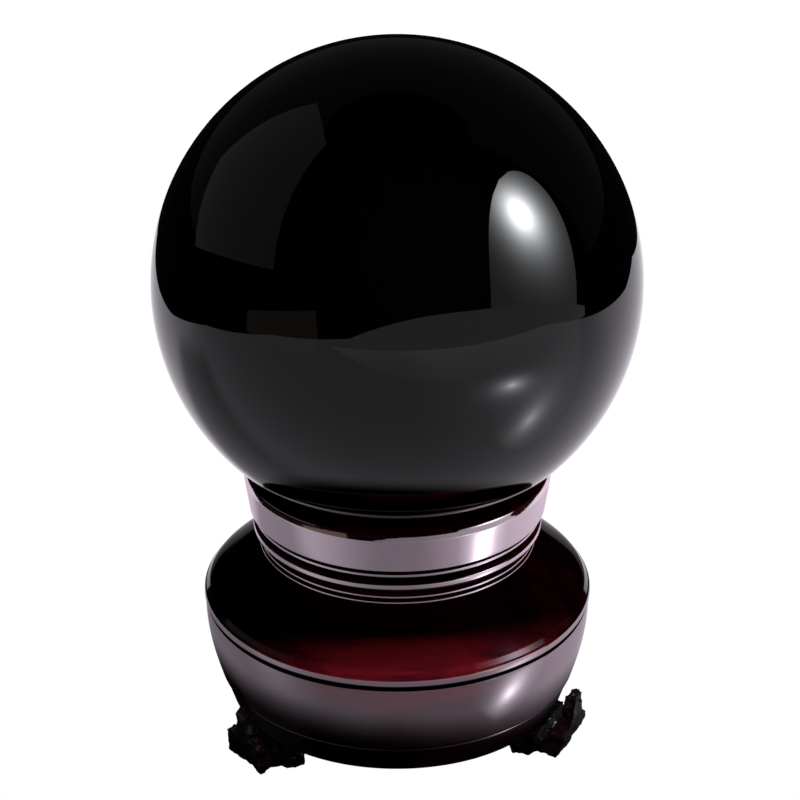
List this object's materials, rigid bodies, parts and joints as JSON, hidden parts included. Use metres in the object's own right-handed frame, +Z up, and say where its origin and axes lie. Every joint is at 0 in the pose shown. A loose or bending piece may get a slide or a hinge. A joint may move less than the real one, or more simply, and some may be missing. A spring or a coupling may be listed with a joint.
{
  "type": "crystal ball on stand",
  "caption": "Polished black glass ball resting in the cup of a turned, lacquered wooden stand on carved scroll feet.",
  "frame": {"origin": "on the table, on the stand's turning axis, below the middle of the ball", "axes": "+Z up through the ball, -Y the front, +X to the right seen from the front"},
  "size_m": [0.11, 0.11, 0.1651],
  "materials": {
    "black_glass": "mirror polish, opaque black",
    "turned_rosewood": "dark wine-red lacquer, high gloss",
    "carved_rosewood": "near-black red lacquer over rough carving",
    "screw_steel": "zinc plated",
    "dowel_wood": "plain, unlacquered"
  },
  "bodies": {
    "stand": {"ball_cup": "turned_rosewood", "drum_base": "turned_rosewood", "centre_screw": "screw_steel", "foot_right": "carved_rosewood", "foot_left": "carved_rosewood", "foot_rear": "carved_rosewood", "dowels_right": "dowel_wood", "dowels_left": "dowel_wood", "dowels_rear": "dowel_wood"},
    "ball": {"crystal_ball": "black_glass"}
  },
  "joints": [
    {"name": "ball_lift", "type": "slide", "parent": "stand", "child": "ball", "axis": [0, 0, 1], "range_m": [0, 0.06]}
  ]
}
